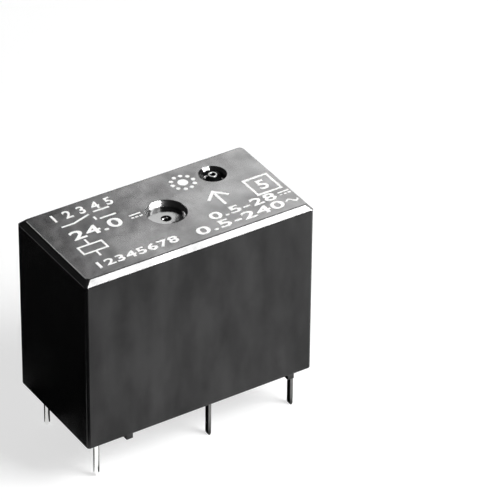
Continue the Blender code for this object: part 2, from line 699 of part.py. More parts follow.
def make_card(plastic):
    """The moulded card: a bar with two round noses and a collar by the barrier."""
    half = CARD_HEIGHT / 2
    nose = half * 0.98
    outline = rounded([
        (CARD_LEFT, CARD_Z - half, nose),
        (CARD_RIGHT, CARD_Z - half, nose),
        (CARD_RIGHT, CARD_Z + half, nose),
        (CARD_LEFT, CARD_Z + half, nose),
    ])
    card = prism("card", outline, "Y", -CARD_WIDTH / 2, CARD_WIDTH / 2, plastic)
    collar_left = BARRIER_RIGHT + SIDE_FIT
    collar = block("card_collar", (collar_left, -CARD_COLLAR_WIDTH / 2, CARD_Z - half * 0.9),
                   (collar_left + CARD_COLLAR_THICKNESS, CARD_COLLAR_WIDTH / 2, CARD_Z + half * 0.9))
    join(card, collar)
    set_origin(card, (CARD_LEFT, 0, CARD_Z))
    return shade(card)


def make_moving_spring(bronze):
    """The flat contact spring, riveted at its foot and free at its top."""
    root = SPRING_ROOT_WIDTH / 2
    tip = SPRING_TIP_WIDTH / 2
    shoulder = SPRING_Z + SPRING_ROOT_HEIGHT
    top = CONTACT_Z + SPRING_PAST_CONTACT
    outline = rounded([
        (-root, SPRING_Z, 0),
        (root, SPRING_Z, 0),
        (root, shoulder, 0),
        (tip, shoulder + (root - tip), 0),
        (tip, top, tip * 0.7),
        (-tip, top, tip * 0.7),
        (-tip, shoulder + (root - tip), 0),
        (-root, shoulder, 0),
    ])
    spring = prism("moving_spring", outline, "X", SPRING_X, SPRING_RIGHT_X, bronze)
    holes = [rod("moving_contact_hole", CONTACT_SHANK_DIAMETER / 2 + SEAT_GAP,
                 (SPRING_X - REACH, 0, CONTACT_Z), 3 * REACH, "X", steps=SMALL_ROUND_STEPS)]
    for side, y in spring_rivets():
        holes.append(rod(f"spring_hole_{side}", SPRING_RIVET_DIAMETER / 2 + SEAT_GAP,
                         (SPRING_X - REACH, y, SPRING_RIVET_Z), 3 * REACH, "X", steps=SMALL_ROUND_STEPS))
    cut(spring, *holes)
    set_origin(spring, (SPRING_X + SPRING_THICKNESS / 2, 0, SPRING_Z))
    return shade(spring)


def spring_rivets():
    return (("front", -SPRING_RIVET_PITCH / 2), ("rear", SPRING_RIVET_PITCH / 2))


def make_spring_rivets(brass):
    """Two rivets through the spring, their ends flush in the common terminal."""
    shank = SPRING_RIVET_DIAMETER / 2
    head = SPRING_RIVET_HEAD / 2
    grip = TERMINAL_THICKNESS + SEAT_GAP + SPRING_THICKNESS + SEAT_GAP
    profile = [(0, 0), (shank, 0), (shank, grip), (head, grip), (head, grip + RIVET_HEAD_THICKNESS / 2)]
    profile += [(radius, grip + RIVET_HEAD_THICKNESS / 2 + height)
                for radius, height in dome(head, RIVET_HEAD_THICKNESS / 2)]
    for side, y in spring_rivets():
        centre = (COMMON_PLATE_LEFT, y, SPRING_RIVET_Z)
        rivet = turned(f"spring_rivet_{side}", profile, centre, "X", brass, SMALL_ROUND_STEPS)
        set_origin(rivet, (SPRING_X + SPRING_THICKNESS / 2, 0, SPRING_Z))
        shade(rivet)


def make_moving_contact(silver):
    """The double-headed rivet contact at the spring's free end."""
    radius = CONTACT_DIAMETER / 2
    shank = CONTACT_SHANK_DIAMETER / 2
    left_rim = CONTACT_LEFT_X + CONTACT_DOME
    left_back = CONTACT_LEFT_X + CONTACT_HEAD
    right_back = CONTACT_RIGHT_X - CONTACT_HEAD
    right_rim = CONTACT_RIGHT_X - CONTACT_DOME
    crown = dome(radius, CONTACT_DOME)
    profile = [(r, left_rim - height) for r, height in reversed(crown)]
    profile += [(radius, left_rim), (radius, left_back), (shank, left_back), (shank, right_back)]
    profile += [(radius, right_back), (radius, right_rim)]
    profile += [(r, right_rim + height) for r, height in crown]
    contact = turned("moving_contact", profile, (0, 0, CONTACT_Z), "X", silver, SMALL_ROUND_STEPS)
    set_origin(contact, (SPRING_X + SPRING_THICKNESS / 2, 0, SPRING_Z))
    return shade(contact)


def make_fixed_contact(name, face_x, direction, silver):
    """A flat rivet contact: its face, its shank through the plate, and its formed tail."""
    radius = CONTACT_DIAMETER / 2
    shank = CONTACT_SHANK_DIAMETER / 2
    tail = CONTACT_TAIL_DIAMETER / 2
    plate = CONTACT_HEAD + 2 * SEAT_GAP + TERMINAL_THICKNESS
    edge = CONTACT_DOME
    profile = [
        (0, 0),
        (radius - edge, 0),
        (radius, edge),
        (radius, CONTACT_HEAD),
        (shank, CONTACT_HEAD),
        (shank, plate),
        (tail, plate),
        (tail, plate + CONTACT_TAIL),
        (0, plate + CONTACT_TAIL),
    ]
    profile = [(r, direction * height) for r, height in profile]
    return shade(turned(name, profile, (face_x, 0, CONTACT_Z), "X", silver, SMALL_ROUND_STEPS))


def blade_pin(name, x, y, top, material=None):
    """A flat pin whose tip is coined a little thinner."""
    half = TERMINAL_THICKNESS / 2
    tip = PIN_TIP_THICKNESS / 2
    outline = [
        (x - half, top),
        (x - half, PIN_TIP_LENGTH),
        (x - tip, 0),
        (x + tip, 0),
        (x + half, PIN_TIP_LENGTH),
        (x + half, top),
    ]
    return prism(name, outline, "Y", y - PIN_WIDTH / 2, y + PIN_WIDTH / 2, material)


def contact_plate(name, left, right, foot_low, foot_high):
    """A stamped upright with a wide foot, a narrower top and room for its contact."""
    half = PLATE_WIDTH / 2
    foot_top = STRIP_Z + PLATE_FOOT_HEIGHT
    outline = rounded([
        (foot_low, STRIP_Z, 0),
        (foot_high, STRIP_Z, 0),
        (foot_high, PLATE_TOP_Z, PLATE_CORNER_RADIUS),
        (-half, PLATE_TOP_Z, PLATE_CORNER_RADIUS),
        (-half, foot_top, PLATE_CORNER_RADIUS),
        (foot_low, foot_top, 0),
    ])
    return prism(name, outline, "X", left, right)


def contact_hole(name, left):
    radius = CONTACT_SHANK_DIAMETER / 2 + SEAT_GAP
    return rod(name, radius, (left - REACH, 0, CONTACT_Z), TERMINAL_THICKNESS + 2 * REACH, "X",
               steps=SMALL_ROUND_STEPS)


def make_common_terminal(brass):
    """Pin, foot strip and upright of the common terminal."""
    front = FRONT_ROW_Y - PIN_WIDTH / 2
    half = TERMINAL_THICKNESS / 2
    terminal = blade_pin("common_terminal", COMMON_X, FRONT_ROW_Y, STRIP_TOP_Z, brass)
    join(terminal, block("common_strip", (COMMON_X - half, front, STRIP_Z),
                         (COMMON_PLATE_RIGHT, front + STRIP_WIDTH, STRIP_TOP_Z)))
    join(terminal, block("common_upright", (COMMON_PLATE_LEFT, front, STRIP_Z),
                         (COMMON_PLATE_RIGHT, SPRING_ROOT_WIDTH / 2, CLAMP_TOP_Z)))
    for side, y in spring_rivets():
        radius = SPRING_RIVET_DIAMETER / 2 + RIVET_FIT
        cut(terminal, rod(f"common_rivet_hole_{side}", radius, (COMMON_PLATE_LEFT - REACH, y, SPRING_RIVET_Z),
                          TERMINAL_THICKNESS + 2 * REACH, "X", steps=SMALL_ROUND_STEPS))
    return terminal


def make_no_terminal(brass):
    """Pin, foot strip and upright of the normally open terminal."""
    front = FRONT_ROW_Y - PIN_WIDTH / 2
    half = TERMINAL_THICKNESS / 2
    terminal = blade_pin("no_terminal", CONTACT_PIN_X, FRONT_ROW_Y, STRIP_TOP_Z, brass)
    join(terminal, block("no_strip", (NO_PLATE_LEFT, front, STRIP_Z),
                         (CONTACT_PIN_X + half, front + STRIP_WIDTH, STRIP_TOP_Z)))
    join(terminal, contact_plate("no_upright", NO_PLATE_LEFT, NO_PLATE_RIGHT, front, PLATE_WIDTH / 2))
    cut(terminal, contact_hole("no_contact_hole", NO_PLATE_LEFT))
    return terminal


def make_nc_terminal(brass):
    """The normally closed terminal: a pin, a strip along the rear wall and a plate across."""
    half = TERMINAL_THICKNESS / 2
    outer = CAVITY_HALF_WIDTH - SIDE_STRIP_INSET
    inner = outer - TERMINAL_THICKNESS
    low = CONTACT_Z - PLATE_WIDTH / 2
    rear = REAR_ROW_Y - PIN_WIDTH / 2
    terminal = blade_pin("nc_terminal", CONTACT_PIN_X, REAR_ROW_Y, PLATE_TOP_Z, brass)
    join(terminal, block("nc_side_leg", (CONTACT_PIN_X - half, rear, STRIP_Z),
                         (CONTACT_PIN_X + half, outer, PLATE_TOP_Z)))
    join(terminal, block("nc_side_strip", (NC_PLATE_LEFT, inner, low), (CONTACT_PIN_X + half, outer, PLATE_TOP_Z)))
    across = rounded([
        (-PLATE_WIDTH / 2, low, PLATE_CORNER_RADIUS),
        (outer, low, 0),
        (outer, PLATE_TOP_Z, 0),
        (-PLATE_WIDTH / 2, PLATE_TOP_Z, PLATE_CORNER_RADIUS),
    ])
    join(terminal, prism("nc_across", across, "X", NC_PLATE_LEFT, NC_PLATE_RIGHT))
    cut(terminal, contact_hole("nc_contact_hole", NC_PLATE_LEFT))
    return terminal


def make_coil_pins(tinned):
    """Two round pins that stand in the bobbin's lower flange."""
    radius = WIRE_PIN_DIAMETER / 2
    top = FLANGE_TOP_Z + WIRE_PIN_ABOVE_FLANGE
    profile = [(0, 0), (WIRE_PIN_TIP_DIAMETER / 2, 0), (radius, WIRE_PIN_TAPER), (radius, top), (0, top)]
    for side, y in (("front", FRONT_ROW_Y), ("rear", REAR_ROW_Y)):
        shade(turned(f"coil_terminal_{side}", profile, (COIL_PIN_X, y, 0), "Z", tinned, SMALL_ROUND_STEPS))


def make_coil_leads(copper):
    """The winding's two ends, wrapped on the coil terminals."""
    around = WIRE_PIN_DIAMETER / 2 + LEAD_DIAMETER / 2 + SEAT_GAP
    start_z = FLANGE_TOP_Z + LEAD_DIAMETER / 2 + SEAT_GAP
    end_radius = WINDING_RADIUS + TAPE_THICKNESS + LEAD_DIAMETER + 2 * SEAT_GAP
    steps = 10
    for side, y in (("front", FRONT_ROW_Y), ("rear", REAR_ROW_Y)):
        post = Vector((COIL_PIN_X, y))
        middle = Vector((COIL_X, 0))
        inward = (middle - post).normalized()
        sideways = Vector((-inward.y, inward.x))
        points = []
        for k in range(LEAD_TURNS * steps + 1):
            angle = 2 * math.pi * k / steps
            spot = post + around * (inward * math.sin(angle) + sideways * math.cos(angle))
            points.append((spot.x, spot.y, start_z + LEAD_PITCH * k / steps))
        gap = (middle - post).length - end_radius
        end = Vector(points[-1][:2]) + inward * gap
        points.append((end.x, end.y, points[-1][2] + LEAD_PITCH))
        curve = bpy.data.curves.new(f"coil_lead_{side}", "CURVE")
        curve.dimensions = "3D"
        curve.bevel_depth = LEAD_DIAMETER / 2
        curve.bevel_resolution = 1
        curve.use_fill_caps = True
        spline = curve.splines.new("POLY")
        spline.points.add(len(points) - 1)
        for spline_point, point in zip(spline.points, points):
            spline_point.co = (*point, 1.0)
        curve.materials.append(copper)
        lead = bpy.data.objects.new(f"coil_lead_{side}", curve)
        bpy.context.scene.collection.objects.link(lead)


def build():
    clear_scene()
    black = finish("black case plastic", (0.03, 0.03, 0.032), 0.42)
    dark = finish("dark base plastic", (0.035, 0.035, 0.035), 0.55)
    resin = finish("sealing resin", (0.02, 0.02, 0.022), 0.2)
    ivory = finish("ivory bobbin plastic", (0.6, 0.57, 0.48), 0.5)
    green = finish("card plastic", (0.2, 0.32, 0.24), 0.5)
    iron = finish("plated iron", (0.55, 0.55, 0.56), 0.35, 1.0)
    copper = finish("enamelled copper", (0.6, 0.24, 0.1), 0.35, 1.0)
    film = finish("yellow film", (0.75, 0.5, 0.08), 0.3)
    bronze = finish("spring bronze", (0.7, 0.45, 0.25), 0.3, 1.0)
    brass = finish("rivet brass", (0.72, 0.55, 0.28), 0.35, 1.0)
    tinned = finish("tinned copper", (0.72, 0.72, 0.7), 0.3, 1.0)
    silver = finish("silver contact", (0.85, 0.85, 0.84), 0.25, 1.0)

    make_case(black)
    make_base(dark)
    make_resin(resin)
    make_yoke(iron)
    make_core(iron)
    make_bobbin(ivory)
    make_winding(copper)
    make_tape(film)
    make_armature(iron)
    make_hinge_spring(bronze)
    make_hinge_rivet(brass)
    make_card(green)
    make_moving_spring(bronze)
    make_spring_rivets(brass)
    make_moving_contact(silver)
    make_common_terminal(tinned)
    make_no_terminal(tinned)
    make_nc_terminal(tinned)
    make_fixed_contact("no_contact", NO_FACE_X, 1, silver)
    make_fixed_contact("nc_contact", NC_FACE_X, -1, silver)
    make_coil_pins(tinned)
    make_coil_leads(copper)


build()
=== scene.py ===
import math

import bmesh
import bpy
from mathutils import Matrix, Vector


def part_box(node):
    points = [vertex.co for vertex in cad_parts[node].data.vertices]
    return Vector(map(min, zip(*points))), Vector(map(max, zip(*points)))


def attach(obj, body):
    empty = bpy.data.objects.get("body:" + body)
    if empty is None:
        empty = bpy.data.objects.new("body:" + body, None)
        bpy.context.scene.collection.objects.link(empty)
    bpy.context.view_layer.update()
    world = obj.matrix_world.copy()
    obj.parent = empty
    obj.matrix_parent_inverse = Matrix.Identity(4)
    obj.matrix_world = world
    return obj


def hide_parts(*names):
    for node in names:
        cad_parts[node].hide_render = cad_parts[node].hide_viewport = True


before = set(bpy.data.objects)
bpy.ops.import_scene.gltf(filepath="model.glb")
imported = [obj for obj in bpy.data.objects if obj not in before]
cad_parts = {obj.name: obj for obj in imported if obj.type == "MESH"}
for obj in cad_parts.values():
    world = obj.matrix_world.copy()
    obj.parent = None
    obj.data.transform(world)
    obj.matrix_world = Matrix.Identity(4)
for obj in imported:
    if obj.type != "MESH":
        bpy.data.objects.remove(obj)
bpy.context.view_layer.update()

# The camera stands in front of the relay's left end and looks down on it, through a long lens.
# The relay stands left of the picture's middle, so the lens points towards its right end.
mm = 0.001
LENS_PIXELS = 3823.5
PICTURE_PIXELS = 500
SENSOR_WIDTH = 36
CAMERA_AZIMUTH = math.radians(-32.864)
CAMERA_ELEVATION = math.radians(34.436)
CAMERA_ROLL = math.radians(0.701)
CAMERA_DISTANCE = 298.05 * mm
CAMERA_TARGET = Vector((7.642, 0, 13.004)) * mm
NEAREST_SEEN = 10 * mm
FARTHEST_SEEN = 10
away = Vector((
    math.sin(CAMERA_AZIMUTH) * math.cos(CAMERA_ELEVATION),
    -math.cos(CAMERA_AZIMUTH) * math.cos(CAMERA_ELEVATION),
    math.sin(CAMERA_ELEVATION),
))
camera_data = bpy.data.cameras.new("camera")
camera_data.sensor_width = SENSOR_WIDTH
camera_data.lens = LENS_PIXELS / PICTURE_PIXELS * SENSOR_WIDTH
camera_data.clip_start = NEAREST_SEEN
camera_data.clip_end = FARTHEST_SEEN
camera = bpy.data.objects.new("camera", camera_data)
bpy.context.scene.collection.objects.link(camera)
aim = away.to_track_quat("Z", "Y").to_matrix() @ Matrix.Rotation(CAMERA_ROLL, 3, "Z")
camera.matrix_world = Matrix.Translation(CAMERA_TARGET + away * CAMERA_DISTANCE) @ aim.to_4x4()
bpy.context.scene.camera = camera


# The floor is a sheet of pale matt card, far larger than the view. It glows softly for the camera and
# in reflections alone, so it reads as white there and still keeps the relay's shadow.
class Value:
    """One shader socket. Plain operators on it add the Math nodes."""

    def __init__(self, graph, socket):
        self.graph = graph
        self.socket = socket

    def maths(self, operation, first, second):
        return self.graph.node("ShaderNodeMath", {"operation": operation}, {0: first, 1: second})

    def __add__(self, other):
        return self.maths("ADD", self, other)

    def __sub__(self, other):
        return self.maths("SUBTRACT", self, other)

    def __rsub__(self, other):
        return self.maths("SUBTRACT", other, self)

    def __mul__(self, other):
        return self.maths("MULTIPLY", self, other)

    __radd__ = __add__
    __rmul__ = __mul__

    def at_least(self, limit):
        return self.maths("MAXIMUM", self, limit)


class Finish:
    """A material on the Principled shader, with its constants set on the shader itself."""

    def __init__(self, name, **constants):
        self.material = bpy.data.materials.new(name)
        self.material.use_nodes = True
        self.tree = self.material.node_tree
        self.shader = self.tree.nodes["Principled BSDF"]
        for key, value in constants.items():
            self.shader.inputs[key.replace("_", " ")].default_value = value
        self.place = Value(self, self.tree.nodes.new("ShaderNodeTexCoord").outputs["Object"])

    def node(self, kind, settings=None, inputs=None, output=0):
        """Any node: its settings first, then the values or links of its sockets."""
        made = self.tree.nodes.new(kind)
        for key, value in (settings or {}).items():
            if key == "stops":
                ramp = made.color_ramp
                for spot, (position, colour) in enumerate(value):
                    stop = ramp.elements[spot] if spot < 2 else ramp.elements.new(position)
                    stop.position = position
                    stop.color = (*colour, 1.0)
            else:
                setattr(made, key, value)
        for key, value in (inputs or {}).items():
            if isinstance(value, Value):
                self.tree.links.new(value.socket, made.inputs[key])
            else:
                made.inputs[key].default_value = value
        return Value(self, made.outputs[output])

    def noise(self, size, detail=2.0, stretch=(1, 1, 1), roughness=0.5):
        """Noise from 0 to 1 whose patches are about size metres across."""
        spot = self.node(
            "ShaderNodeMapping",
            {"vector_type": "POINT"},
            {"Vector": self.place, "Scale": stretch},
        )
        return self.node(
            "ShaderNodeTexNoise",
            {},
            {"Vector": spot, "Scale": 1 / size, "Detail": detail, "Roughness": roughness},
        )

    def along(self, axis):
        """The distance along one of the object's axes: 0, 1 or 2."""
        return self.node("ShaderNodeSeparateXYZ", {}, {"Vector": self.place}, output=axis)

    def ramp(self, value, start, end):
        """A factor that goes from 0 to 1 as a value goes from start to end."""
        return self.node("ShaderNodeMapRange", {}, {"Value": value, "From Min": start, "From Max": end})

    def between(self, factor, low, high):
        """A colour that goes from low to high with a factor."""
        return self.node("ShaderNodeValToRGB", {"stops": [(0.0, low), (1.0, high)]}, {"Fac": factor})

    def bump(self, height, depth, under=None):
        """A normal from a height that runs from 0 to 1 over a depth in metres."""
        inputs = {"Height": height, "Distance": depth, "Strength": 1.0}
        if under:
            inputs["Normal"] = under
        return self.node("ShaderNodeBump", {}, inputs)

    def wear(self, **sockets):
        """Links what varies over the surface into the shader."""
        for key, value in sockets.items():
            self.tree.links.new(value.socket, self.shader.inputs[key.replace("_", " ")])


scene = bpy.context.scene
FLOOR_REACH = 3
FLOOR_GLOW = 0.66
pale_card = Finish("pale card", Roughness=0.9, Specular_IOR_Level=0.1, Emission_Strength=1.0)
seen = pale_card.node("ShaderNodeLightPath", output="Is Camera Ray")
mirrored = pale_card.node("ShaderNodeLightPath", output="Is Glossy Ray")
through = pale_card.node("ShaderNodeLightPath", output="Is Transmission Ray")
pale_card.wear(
    Base_Color=pale_card.between(pale_card.noise(30 * mm, 3), (0.38, 0.38, 0.38), (0.41, 0.41, 0.41)),
    Emission_Color=pale_card.between(seen + mirrored + through, (0, 0, 0), (FLOOR_GLOW,) * 3),
)
floor_mesh = bpy.data.meshes.new("floor")
bm = bmesh.new()
bmesh.ops.create_grid(bm, x_segments=1, y_segments=1, size=FLOOR_REACH)
bm.to_mesh(floor_mesh)
bm.free()
floor_mesh.materials.append(pale_card.material)
floor = bpy.data.objects.new("floor", floor_mesh)
scene.collection.objects.link(floor)

# The key lamp at the front right lights the floor and the relay. The other lamps show only in
# reflections: one over the key for the front chamfer, a broad soft box behind for the top face, a
# small one on the right for glints, and one behind on the left for the top's left edge.
LAMP_DISTANCE = 300 * mm
LAMP_AIM = Vector((0, 0, 12 * mm))
FRONT_RIGHT = (0.45, -0.56, 0.69)
BACK_RIGHT = (0.7, 0.5, 0.56)
RIGHT = (0.83, 0.04, 0.5)
BACK_LEFT = (-0.12, 0.69, 0.72)
AIR_GLOW = 0.12


def soft_box(name, direction, width, height, radiance, mirrored_only=True):
    """A rectangular lamp that faces the relay from a direction."""
    data = bpy.data.lights.new(name, "AREA")
    data.shape = "RECTANGLE"
    data.size = width
    data.size_y = height
    data.energy = math.pi * width * height * radiance
    lamp = bpy.data.objects.new(name, data)
    towards = Vector(direction).normalized()
    turn = towards.to_track_quat("Z", "Y").to_matrix().to_4x4()
    lamp.matrix_world = Matrix.Translation(LAMP_AIM + towards * LAMP_DISTANCE) @ turn
    lamp.visible_diffuse = not mirrored_only
    scene.collection.objects.link(lamp)


scene.view_settings.view_transform = "Standard"
soft_box("key lamp", FRONT_RIGHT, width=140 * mm, height=130 * mm, radiance=20, mirrored_only=False)
soft_box("edge lamp", FRONT_RIGHT, width=240 * mm, height=150 * mm, radiance=120)
soft_box("back soft box", BACK_RIGHT, width=222 * mm, height=200 * mm, radiance=7)
soft_box("right lamp", RIGHT, width=70 * mm, height=70 * mm, radiance=9)
soft_box("left lamp", BACK_LEFT, width=90 * mm, height=50 * mm, radiance=24)
world = bpy.data.worlds.new("studio")
world.use_nodes = True
world.node_tree.nodes["Background"].inputs["Color"].default_value = (1, 1, 1, 1)
world.node_tree.nodes["Background"].inputs["Strength"].default_value = AIR_GLOW
scene.world = world

# Dark sheets of painted shade lie on the floor left of the relay and under it, where the floor is in the
# relay's shadow. They show only in reflections, where they paint the shade that keeps the left face and
# the case's front left corner black. They stop short of the coil's pins, so that the pins mirror the pale
# floor.
CARD_LIFT = 0.03 * mm
CASE_CORNER = (-10.15 * mm, -5.15 * mm, CARD_LIFT)
SECTOR_NEAR = 5.7 * mm
SECTOR_FAR = 60 * mm
SECTOR_START = math.radians(172)
SECTOR_ANGLE = math.radians(115)
PAINTED_SHADE_SHEETS = (                 # left, right, near and far sides, in millimetres
    (-60, -12, -1, 60),         # beside the left face
    (-8.3, 10.1, -4.9, 5.1),    # under the case
    (-12, -8.3, -3.4, -0.5),    # between the coil's pins
    (-12, -8.3, 4.1, 9),        # behind the rear pin
)
# Its near-black colour is painted shade, seen only in reflections.
painted_shade_card = Finish("painted shade card", Roughness=1.0, Specular_IOR_Level=0.0)
painted_shade_card.wear(
    Base_Color=painted_shade_card.between(painted_shade_card.noise(20 * mm, 2), (0.01, 0.01, 0.01), (0.02, 0.02, 0.02)),
)
painted_shade_mesh = bpy.data.meshes.new("painted shade card")
bm = bmesh.new()
ray = [bm.verts.new((reach, 0, 0)) for reach in (SECTOR_NEAR, SECTOR_FAR)]
ray_edge = bm.edges.new(ray)
bmesh.ops.spin(
    bm, geom=ray + [ray_edge], cent=(0, 0, 0), axis=(0, 0, 1), angle=SECTOR_ANGLE, steps=12,
)
bmesh.ops.rotate(bm, cent=(0, 0, 0), matrix=Matrix.Rotation(SECTOR_START, 3, "Z"), verts=bm.verts)
bmesh.ops.translate(bm, vec=CASE_CORNER, verts=bm.verts)
for left, right, near, far in PAINTED_SHADE_SHEETS:
    middle = ((left + right) / 2 * mm, (near + far) / 2 * mm, CARD_LIFT)
    sheet = bmesh.ops.create_grid(bm, x_segments=1, y_segments=1, size=0.5)["verts"]
    bmesh.ops.scale(bm, vec=((right - left) * mm, (far - near) * mm, 1), verts=sheet)
    bmesh.ops.translate(bm, vec=middle, verts=sheet)
bm.to_mesh(painted_shade_mesh)
bm.free()
painted_shade_mesh.materials.append(painted_shade_card.material)
flag = bpy.data.objects.new("painted shade card", painted_shade_mesh)
flag.visible_camera = False
flag.visible_diffuse = False
flag.visible_shadow = False
scene.collection.objects.link(flag)

# The cover is one black moulding, open below, with flat chamfers round its top. It is pushed over the
# base, held there by the casting resin, and stands on four small feet. A round pocket in the middle
# of its top hides the gate's mark, and a smaller one holds the vent nib.
case_low, case_high = (Vector(corner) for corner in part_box("case"))
case_size = case_high - case_low
PRINT_ROOM = 0.012 * mm
FOOT_HEIGHT = 0.4 * mm
FOOT_WIDTH = 0.56 * mm
FOOT_INSET = 0.003 * mm
FEET = (-6.45 * mm, 8.28 * mm)
WALL = 0.65 * mm
CORNER_RADIUS = 0.25 * mm
CHAMFER = 0.43 * mm
EDGE_ROUNDING = 0.08 * mm
LEVEL_WITHIN = 1e-7
SAME_POINT = 1e-9
SHARP_ANGLE = math.radians(30)
CAVITY_CEILING = 18.5 * mm
CAVITY_CORNER = 0.3 * mm
GATE_CENTRE = Vector((0, 0, 0))
GATE_RADIUS = 1.625 * mm
GATE_DEPTH = 0.62 * mm
GATE_LIP = 0.04 * mm
GATE_FLOOR_ROUNDING = 0.06 * mm
GATE_BOSS_RADIUS = 2.175 * mm
GATE_BOSS_BOTTOM = 18.2 * mm
VENT_CENTRE = Vector((5.8, 2.6, 0)) * mm
VENT_RADIUS = 0.9 * mm
VENT_DEPTH = 0.7 * mm
VENT_LIP = 0.03 * mm
VENT_FLOOR_ROUNDING = 0.05 * mm
VENT_SINK = 0.225 * mm
VENT_BOSS_RADIUS = 1.675 * mm
VENT_BOSS_BOTTOM = 18.1 * mm
case_top = case_high.z - PRINT_ROOM
rim_z = case_low.z + FOOT_HEIGHT


def add_object(name, bm, material=None):
    """Puts a bmesh in the scene as an object at the origin, shaded smooth."""
    bmesh.ops.recalc_face_normals(bm, faces=bm.faces[:])
    mesh = bpy.data.meshes.new(name)
    bm.to_mesh(mesh)
    bm.free()
    if material:
        mesh.materials.append(material)
    obj = bpy.data.objects.new(name, mesh)
    scene.collection.objects.link(obj)
    mesh.shade_smooth()
    mesh.set_sharp_from_angle(angle=SHARP_ANGLE)
    return obj


def block(low, high):
    """A bmesh box between two corners."""
    bm = bmesh.new()
    bmesh.ops.create_cube(bm, size=1)
    bmesh.ops.scale(bm, vec=Vector(high) - Vector(low), verts=bm.verts)
    bmesh.ops.translate(bm, vec=(Vector(low) + Vector(high)) / 2, verts=bm.verts)
    return bm


def bevel(bm, geom, offset, segments, affect="EDGES"):
    """A flat chamfer where there is one segment, and a rounding where there are more."""
    bmesh.ops.bevel(
        bm, geom=geom, offset=offset, affect=affect, segments=segments, profile=0.5, material=-1,
    )


def extrude(bm, height):
    """Raises a flat bmesh to a closed solid."""
    grown = bmesh.ops.extrude_face_region(bm, geom=bm.faces[:])
    raised = [item for item in grown["geom"] if isinstance(item, bmesh.types.BMVert)]
    bmesh.ops.translate(bm, vec=(0, 0, height), verts=raised)


def millimetres(points):
    """The points of a turned profile, from millimetres to metres."""
    return [(radius * mm, height * mm) for radius, height in points]


def arc(centre_radius, centre_height, radius, start, end, steps=4):
    """Points of an arc in a turned profile, between two angles in degrees."""
    points = []
    for k in range(steps + 1):
        angle = math.radians(start + (end - start) * k / steps)
        points.append((centre_radius + radius * math.cos(angle), centre_height + radius * math.sin(angle)))
    return points


def revolve(profile, centre, steps=72):
    """A closed bmesh of a profile of (radius, height) points that starts and ends on its axis."""
    bm = bmesh.new()
    verts = [bm.verts.new((radius, 0, height)) for radius, height in profile]
    edges = [bm.edges.new(pair) for pair in zip(verts, verts[1:])]
    bmesh.ops.spin(
        bm, geom=verts + edges, cent=(0, 0, 0), axis=(0, 0, 1), angle=2 * math.pi, steps=steps,
        use_merge=True,
    )
    bmesh.ops.remove_doubles(bm, verts=bm.verts[:], dist=SAME_POINT)
    bmesh.ops.translate(bm, vec=centre, verts=bm.verts[:])
    bmesh.ops.recalc_face_normals(bm, faces=bm.faces[:])
    return bm


def shape(obj, bm, operation):
    """Cuts a tool's bmesh out of a piece, or joins it on, for good."""
    tool = add_object("tool", bm)
    modifier = obj.modifiers.new("shape", "BOOLEAN")
    modifier.operation = operation
    modifier.solver = "EXACT"
    modifier.object = tool
    graph = bpy.context.evaluated_depsgraph_get()
    shaped = bpy.data.meshes.new_from_object(obj.evaluated_get(graph), depsgraph=graph)
    obj.modifiers.clear()
    obj.data = shaped
    bpy.data.objects.remove(tool, do_unlink=True)


def rise(edge):
    """How far an edge climbs from one end to the other."""
    return abs(edge.verts[0].co.z - edge.verts[1].co.z)


moulding = block((case_low.x, case_low.y, rim_z), (case_high.x, case_high.y, case_top))
half_way = (rim_z + case_top) / 2
top_edges = [edge for edge in moulding.edges if min(vert.co.z for vert in edge.verts) > half_way]
bevel(moulding, top_edges, CHAMFER, 1)
bevel(moulding, [edge for edge in moulding.edges if rise(edge) > CHAMFER / 2], CORNER_RADIUS, 6)
bevel(moulding, [edge for edge in moulding.edges if rise(edge) < LEVEL_WITHIN], EDGE_ROUNDING, 3)
cover = add_object("case_cover", moulding)

cavity = bmesh.new()
bmesh.ops.create_grid(cavity, x_segments=1, y_segments=1, size=0.5)
bmesh.ops.scale(cavity, vec=(case_size.x - 2 * WALL, case_size.y - 2 * WALL, 1), verts=cavity.verts)
bevel(cavity, cavity.verts[:], CAVITY_CORNER, 5, affect="VERTICES")
bmesh.ops.translate(cavity, vec=(0, 0, case_low.z - WALL), verts=cavity.verts)
extrude(cavity, CAVITY_CEILING - case_low.z + WALL)
shape(cover, cavity, "DIFFERENCE")

for x in FEET:
    for outer_y in (case_low.y + FOOT_INSET, case_high.y - FOOT_INSET):
        inner_y = outer_y - math.copysign(WALL, outer_y)
        low = (x - FOOT_WIDTH / 2, min(outer_y, inner_y), case_low.z)
        high = (x + FOOT_WIDTH / 2, max(outer_y, inner_y), rim_z + WALL)
        shape(cover, block(low, high), "UNION")

# Two round bosses thicken the roof from inside, so that it stays closed under the pockets. The gate
# pocket is plain, and the vent pocket has a 45 degree countersink round its rim.
roof_middle = (CAVITY_CEILING + case_top) / 2
for centre, radius, bottom in (
    (GATE_CENTRE, GATE_BOSS_RADIUS, GATE_BOSS_BOTTOM),
    (VENT_CENTRE, VENT_BOSS_RADIUS, VENT_BOSS_BOTTOM),
):
    boss = [(0, bottom), (radius, bottom), (radius, roof_middle), (0, roof_middle)]
    shape(cover, revolve(boss, centre), "UNION")


def pocket(radius, depth, floor_rounding, lip):
    """A turned cutter whose floor edge is rounded and whose rim is rounded over by a lip radius."""
    floor_z = case_top - depth
    points = [(0, floor_z)]
    points += arc(radius - floor_rounding, floor_z + floor_rounding, floor_rounding, -90, 0)
    points += arc(radius + lip, case_top - lip, lip, 180, 95, steps=5)
    points += [(radius + lip, case_top + depth), (0, case_top + depth)]
    return points


